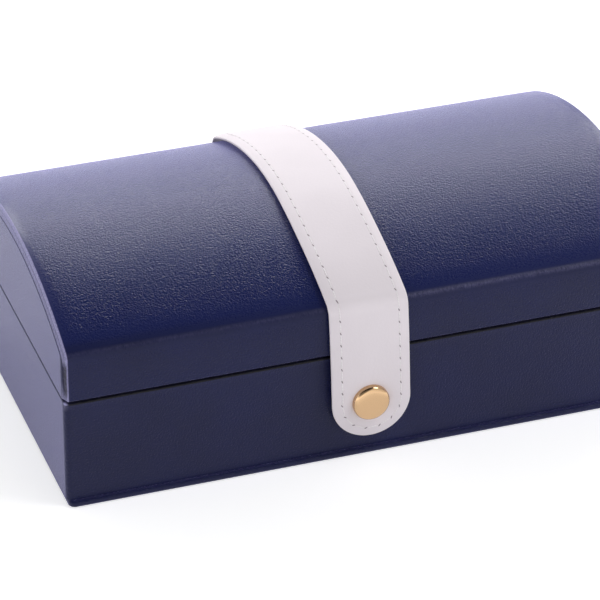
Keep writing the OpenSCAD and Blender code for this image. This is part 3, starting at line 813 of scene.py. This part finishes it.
def make_strap():
    """The strap and its tongue as one padded band, laid over the lid and free below the front crease. Its
    facing ends in a thin rounded edge, and its backing is set back under it, so that the edge stands over a
    shadow."""
    start, across, forward = strap_rays(0.5)
    share = np.concatenate(
        [np.linspace(0, 0.5, 6)[:-1], np.linspace(0.5, 0.9, 25)[:-1], np.linspace(0.9, 0.985, 7)]
    )
    turn = np.linspace(0, math.pi, 9)[1:-1]
    x_top = np.outer(across, share)
    s_top = start[:, None] + np.outer(forward, share)
    h_top = strap_height(x_top, s_top)
    edge_h = h_top[:, -1:]
    round_out = share[-1] + (1 - share[-1]) * np.sin(turn)
    x_edge = np.outer(across, round_out)
    s_edge = start[:, None] + np.outer(forward, round_out)
    h_edge = edge_h - FACING_EDGE_T / 2 * (1 - np.cos(turn))
    backing = 1 - BACKING_INSET / STRAP_R
    under = np.concatenate([[share[-1], backing, backing], share[share < backing - 0.03][::-3], [0]])
    x_under = np.outer(across, under)
    s_under = start[:, None] + np.outer(forward, under)
    h_under = np.full(x_under.shape, STRAP_GAP)
    h_under[:, :2] = edge_h - FACING_EDGE_T
    x = np.concatenate([x_top, x_edge, x_under], axis=1)
    s = np.concatenate([s_top, s_edge, s_under], axis=1)
    h = np.concatenate([h_top, h_edge, h_under], axis=1)
    y, z = over_lid(s, h + puff(s))
    points = np.stack([x + STRAP_X + drift(s), y, z], axis=2).reshape(-1, 3)
    quads = grid_quads(x.shape[0], x.shape[1], True, False)
    nodes = ["strap_facing", "strap_backing", "tongue_facing", "tongue_backing"]
    strap = make("strap", points, quads, WHITE_LEATHER, None, nodes)
    bend_at_tongue(strap)


def bend_at_tongue(piece):
    """Bakes a piece of the strap's transform into its mesh."""
    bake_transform(piece)


def make_stitches():
    """Thread stitches and the painted shade of their needle holes: a stitch is a short round bar along the
    stitch line that dives into the leather at both ends, and a hole is a flat ellipse between two stitches,
    painted darker than the leather for the shade inside it."""
    x, s, way_x, way_s = stitch_line()
    ring = np.linspace(0, 2 * math.pi, 9)[:-1]
    t = np.linspace(-1, 1, 9)
    slim = THREAD_D / 2 * np.sqrt(1 - 0.8 * t**6)
    run = (t * (STITCH_PITCH / 2 - STITCH_HOLE_R))[:, None]
    stitch = (
        run + 0 * ring, slim[:, None] * np.cos(ring),
        (0.05 - 0.2 * t**6)[:, None] + 0.5 * slim[:, None] * np.sin(ring)
    )
    reach = np.array([0, 0.6, 0.9, 1])[:, None] * STITCH_HOLE_R
    run = STITCH_PITCH / 2 + 1.7 * reach * np.cos(ring)
    hole = (
        run, 0.65 * reach * np.sin(ring) + 0.35 * (run - STITCH_PITCH / 2),
        0.03 - 0.1 * (reach / STITCH_HOLE_R) ** 4 + 0 * ring
    )
    for name, (run, side, up), material in (
        ("stitches", stitch, THREAD), ("stitch_hole_shade", hole, NEEDLE_HOLE_SHADE)
    ):
        px = x[:, None, None] + way_x[:, None, None] * run - way_s[:, None, None] * side
        ps = s[:, None, None] + way_s[:, None, None] * run + way_x[:, None, None] * side
        y, z = over_lid(ps, strap_height(px, ps) + puff(ps) + up)
        points = np.stack([px + STRAP_X + drift(ps), y, z], axis=3).reshape(-1, 3)
        one = grid_quads(*run.shape, False, True)
        quads = (one[None] + (np.arange(len(x)) * run.size)[:, None, None]).reshape(-1, 4)
        sewn = make(name, points, quads, material)
        bend_at_tongue(sewn)


def make_cap():
    """The snap's pressed cap, turned about its axis: nearly flat over its middle, then ever steeper over
    its shoulder, a straight skirt, and an edge that rolls under onto the tongue."""
    r, depth = (cap_high[0] - cap_low[0]) / 2, cap_high[1] - cap_low[1]
    flat, shoulder = np.linspace(0, 0.58, 9)[1:], np.linspace(0, 1, 25)[1:]
    out = np.concatenate([[0], flat, 0.58 + 0.42 * shoulder]) * r
    slope = np.radians(np.concatenate([[0], 9 * flat / 0.58, 9 + 69 * shoulder**1.7]))
    drop = np.concatenate([[0], np.cumsum(np.diff(out) * np.tan((slope[1:] + slope[:-1]) / 2))])
    drop *= 1.25 / drop[-1]
    roll = np.linspace(0, math.pi * 0.75, 8)[1:]
    skirt = depth - 0.18
    out = np.concatenate([out, [r], r - 0.17 + 0.17 * np.cos(roll), [r - 0.8]])
    drop = np.concatenate([drop, [skirt], skirt + 0.17 * np.sin(roll), [depth]])
    turn = np.linspace(0, 2 * math.pi, 97)[:-1, None]
    x, z = STRAP_X + CAP_SHIFT + out * np.cos(turn), SNAP_Z + out * np.sin(turn)
    points = np.stack([x, np.broadcast_to(cap_low[1] + drop, x.shape), z], axis=2).reshape(-1, 3)
    make(
        "cap", points, grid_quads(len(turn), len(out), True, False), CAP_BRASS, "tongue", ["snap_cap"],
    )


make_cover()
make_spine()
make_hinge_leather()
make_inner_hinge()
make_bottom()
make_base_wrap()
make_lid_wrap()
make_strap()
make_stitches()
make_cap()

# --- inside ---


def make_blocks():
    """Velvet-wrapped boards: each liner, divider and the panel as a board with soft edges, in its node's
    place."""
    soft = {
        "base_liner_front": 0.45, "base_liner_back": 0.45, "base_liner_left": 0.45, "base_liner_right": 0.45,
        "divider_main": 1.1, "divider_long": 1.1, "divider_front_1": 1.1, "divider_front_2": 1.1,
        "divider_back": 1.1, "lid_liner_front": 0.45, "lid_liner_back": 0.45, "lid_liner_left": 0.45,
        "lid_liner_right": 0.45, "lid_panel": 0.6,
    }
    for node, r in soft.items():
        low, high = span(node)
        points, quads = board_form(low, high, r, (4, 4, 4))
        body = "lid" if node.startswith("lid") else "base"
        make("velvet_" + node, points, quads, VELVET, body, [node])


make_blocks()


def make_mirror_frame():
    """The mirror's leather-covered frame: a low crown with round edges carried round the glass, with a lip
    over its edge."""
    low, high = span("mirror_frame")
    glass_low, _ = span("mirror")
    lip_z = glass_low[2] - 0.1
    seat = glass_low[0] - low[0] - 0.1
    corners = [
        (0, high[2]), (0, low[2] + 0.3), (FRAME_W / 2, low[2]), (FRAME_W, low[2] + 0.25), (FRAME_W, lip_z),
        (seat, lip_z), (seat, high[2])
    ]
    profile = refine(round_corners(corners, [0.1, 1.0, 3.0, 0.2, 0.1, 0.1, 0.1]), 1)
    points, quads = plan_sweep(low, high, FRAME_CORNER_R, 3, profile[:, 0], profile[:, 1])
    make("frame_round_mirror", points, quads, WHITE_LEATHER, "lid", ["mirror_frame"])


def make_floor_pad():
    """The velvet-covered foam pad under the trays: it rises between its edges and is pressed down under the
    dividers."""
    low, high = span("floor_pad")
    points, quads = board_form(low, high, 0.6, (1.5, 1.5, 0.5))
    top = np.clip((points[:, 2] - low[2]) / (high[2] - low[2]), 0, 1)
    middle = (low + high) / 2
    half = high - middle
    clear = np.min([half[i] - np.abs(points[:, i] - middle[i]) for i in range(2)], axis=0)
    for node in ("divider_main", "divider_long", "divider_front_1", "divider_front_2", "divider_back"):
        board_low, board_high = span(node)
        gap = [
            np.maximum(np.maximum(board_low[i] - points[:, i], points[:, i] - board_high[i]), 0)
            for i in range(2)
        ]
        clear = np.minimum(clear, np.hypot(*gap))
    crown = 0.35 * (1 - np.exp(-clear / 3)) - 0.4
    points[:, 2] += top * (crown + 0.04 * ripple(points[:, :2], 9, 6))
    pad = make("floor_cushion", points, quads, VELVET, "base", ["floor_pad"])


def swell(form, voxel, pressure, cap, scale):
    """Remeshes a closed form, blows it up as cloth at scale times its size, moves no point further than
    cap, and gives back its points and faces."""
    mesh = bpy.data.meshes.new("form")
    points, quads = form
    mesh.from_pydata((points * MM * scale).tolist(), [], quads.tolist())
    blown = bpy.data.objects.new("form", mesh)
    bpy.context.scene.collection.objects.link(blown)
    tidy = bmesh.new()
    tidy.from_mesh(mesh)
    bmesh.ops.remove_doubles(tidy, verts=tidy.verts, dist=2e-6 * scale)
    bmesh.ops.recalc_face_normals(tidy, faces=tidy.faces)
    tidy.to_mesh(mesh)
    tidy.free()
    remesh = blown.modifiers.new("remesh", "REMESH")
    remesh.mode, remesh.voxel_size = "VOXEL", voxel * MM * scale
    bpy.context.view_layer.update()
    mesh = bpy.data.meshes.new_from_object(blown.evaluated_get(bpy.context.evaluated_depsgraph_get()))
    blown.modifiers.clear()
    blown.data = mesh
    start = np.empty(len(mesh.vertices) * 3, np.float32)
    mesh.vertices.foreach_get("co", start)
    start = start.reshape(-1, 3)
    end = start
    cloth = blown.modifiers.new("cloth", "CLOTH")
    cloth.settings.use_pressure, cloth.settings.uniform_pressure_force = True, pressure
    cloth.settings.effector_weights.gravity = 0
    for step in range(1, 21):
        bpy.context.scene.frame_set(step)
    swollen = blown.evaluated_get(bpy.context.evaluated_depsgraph_get()).to_mesh()
    end = np.empty_like(start.ravel())
    swollen.vertices.foreach_get("co", end)
    end = end.reshape(-1, 3)
    bpy.context.scene.frame_set(1)
    moved = (end - start) / (MM * scale)
    far = np.linalg.norm(moved, axis=1, keepdims=True)
    placed = start / (MM * scale) + moved * np.minimum(1, cap / np.maximum(far, 1e-9))
    count = len(mesh.polygons)
    faces = np.empty(count * 4, np.int32)
    mesh.polygons.foreach_get("vertices", faces)
    bpy.data.objects.remove(blown)
    return placed, faces.reshape(-1, 4)


def make_ring_rolls():
    """Seven foam rolls in velvet, packed side by side: one is blown up as cloth from a slimmer roll, and
    each copy is laid in its node's box with dents of its own, drawn in at the ends where the velvet is
    folded under."""
    low, high = span("ring_roll_1")
    size = high - low
    slim = np.array([1.0, 0.4, 0.3])
    points, quads = board_form(slim, size - slim, size[1] / 2 - slim[1] - 0.1, (2, 2, 2))
    foot = points[:, 2] < size[2] / 2
    points[foot, 2] = slim[2] + (points[foot, 2] - slim[2]) * 0.6
    points, faces = swell((points, quads), 0.75, 4, 0.8, 8)
    box = np.array([points.min(axis=0), points.max(axis=0)])
    margin = np.array([0.25, 0.05, 0.02])
    points = margin + (points - box[0]) / (box[1] - box[0]) * (size - 2 * margin)
    for number in range(1, 8):
        roll_low, _ = span(f"ring_roll_{number}")
        along = points[:, 0] / size[0]
        from_end = np.minimum(along, 1 - along) * size[0]
        up = points[:, 2] / size[2]
        dent = 0.16 * (1 + ripple(points, 7, 40 + number)) * up
        pucker = 0.25 * np.exp(-from_end / 1.5) * (1 + np.sin(points[:, 1] * 2 + number)) * up
        placed = points.copy()
        placed[:, 2] -= dent + pucker
        roll = make(
            f"ring_cushion_{number}", roll_low + placed, faces, ROLL_VELVET, "base",
            [f"ring_roll_{number}"]
        )


make_mirror_frame()
make_floor_pad()
make_ring_rolls()

# --- CAD nodes with their finishes ---

FINISHES = {
    "greyboard": GREYBOARD,
    "navy_leather": NAVY_LEATHER,
    "white_leather": WHITE_LEATHER,
    "velvet": VELVET,
    "ring_roll_velvet": ROLL_VELVET,
    "bearer_wood": BEARER_WOOD,
    "gold_brass": SNAP_BRASS,
    "mirror_glass": MIRROR_GLASS,
}


def dress_nodes():
    """Gives each CAD node the finish of its material slot in the record."""
    for part in frame["record"]["subparts"]:
        dressed = frame["nodes"][part["node"]]
        dressed.data.materials.clear()
        dressed.data.materials.append(FINISHES[part["material_slot"]])


dress_nodes()

# --- stage and light ---


def add_floor(glow):
    """A pale floor that keeps the case's shadow, and is seen with a glow that brings it to white where the
    light falls on it."""
    material, tree, _ = new_material("floor")
    surface = add(tree, "BsdfDiffuse", {"Color": (0.88, 0.88, 0.89, 1)})
    rays = tree.nodes.new("ShaderNodeLightPath").outputs
    seen = add(tree, "Math", {0: rays["Is Camera Ray"], 1: rays["Is Glossy Ray"]}, operation="MAXIMUM")
    seen = add(tree, "Math", {0: seen, 1: rays["Is Transmission Ray"]}, operation="MAXIMUM")
    lift = add(tree, "Math", {0: seen, 1: glow}, operation="MULTIPLY")
    lit = add(tree, "Emission", {"Strength": lift})
    both = add(tree, "AddShader", {0: surface, 1: lit})
    surfaced(material, both)
    mesh = bpy.data.meshes.new("floor")
    reach, z = 6.0, -FLOOR_DROP * MM
    corners = [(x, y, z) for x, y in ((-reach, -reach), (reach, -reach), (reach, reach), (-reach, reach))]
    mesh.from_pydata(corners, [], [(0, 1, 2, 3)])
    mesh.materials.append(material)
    floor = bpy.data.objects.new("floor", mesh)
    bpy.context.scene.collection.objects.link(floor)


def way(azimuth, elevation):
    """A direction: azimuth in degrees from +Y towards +X, and elevation over the floor."""
    azimuth, elevation = math.radians(azimuth), math.radians(elevation)
    across = math.cos(elevation)
    return Vector((math.sin(azimuth) * across, math.cos(azimuth) * across, math.sin(elevation)))


def add_softbox(name, toward, distance, width, height, radiance):
    """A lamp width by height, in millimetres, in one direction from the case, with power for that
    radiance."""
    light = bpy.data.lights.new(name, "AREA")
    light.shape, light.size, light.size_y = "RECTANGLE", width * MM, height * MM
    light.energy = radiance * math.pi * light.size * light.size_y
    lamp = bpy.data.objects.new(name, light)
    lamp.location = (toward * distance + Vector((0, 0, 30))) * MM
    lamp.rotation_euler = (-toward).to_track_quat("-Z", "Y").to_euler()
    bpy.context.scene.collection.objects.link(lamp)


def add_world(horizon, sky, zenith, lean, shaded, shade):
    """A pale surround: brightest at the horizon, plain above it, darker by zenith overhead, brighter along
    lean, and dimmed towards one side, where the room is dark. It is seen as white."""
    world = bpy.data.worlds.new("studio")
    bpy.context.scene.world = world
    world.use_nodes = True
    tree = world.node_tree
    tree.nodes.clear()
    toward = add(tree, "TexCoord", out="Generated")
    up = add(tree, "SeparateXYZ", {0: toward}, "Z")
    level = add(
        tree, "MapRange", {"Value": up, "From Max": 0.45, "To Min": horizon, "To Max": sky},
        interpolation_type="SMOOTHSTEP"
    )
    along = add(tree, "VectorMath", {0: toward, 1: lean}, "Value", operation="DOT_PRODUCT")
    level = add(tree, "Math", {0: along, 1: level}, operation="ADD")
    overhead = add(
        tree, "MapRange", {"Value": up, "From Min": 0.5, "From Max": 0.95, "To Min": 1.0, "To Max": zenith},
        interpolation_type="SMOOTHSTEP"
    )
    level = add(tree, "Math", {0: level, 1: overhead}, operation="MULTIPLY")
    near = add(tree, "VectorMath", {0: toward, 1: shaded}, "Value", operation="DOT_PRODUCT")
    dim = add(
        tree, "MapRange",
        {"Value": near, "From Min": 0.66, "From Max": 0.9, "To Min": 1.0, "To Max": shade},
        interpolation_type="SMOOTHSTEP"
    )
    level = add(tree, "Math", {0: level, 1: dim}, operation="MULTIPLY")
    rays = tree.nodes.new("ShaderNodeLightPath").outputs
    seen = add(
        tree, "Math", {0: rays["Is Camera Ray"], 1: rays["Is Transmission Ray"]}, operation="MAXIMUM"
    )
    strength = add(tree, "Mix", {0: seen, 2: level, 3: 1.0})
    around = add(tree, "Background", {"Color": (1, 1, 1, 1), "Strength": strength})
    add(tree, "OutputWorld", {"Surface": around})


add_floor(0.55)
add_world(1.33, 1.03, 0.2, (-0.5, -0.24, 0), (-0.38, -0.47, 0.8), 0.2)
add_softbox("key", way(27, 31), 1200, 1400, 250, 9.8)
add_softbox("top", way(120, 50), 1200, 420, 420, 5.8)
bpy.context.scene.view_settings.view_transform = "Standard"
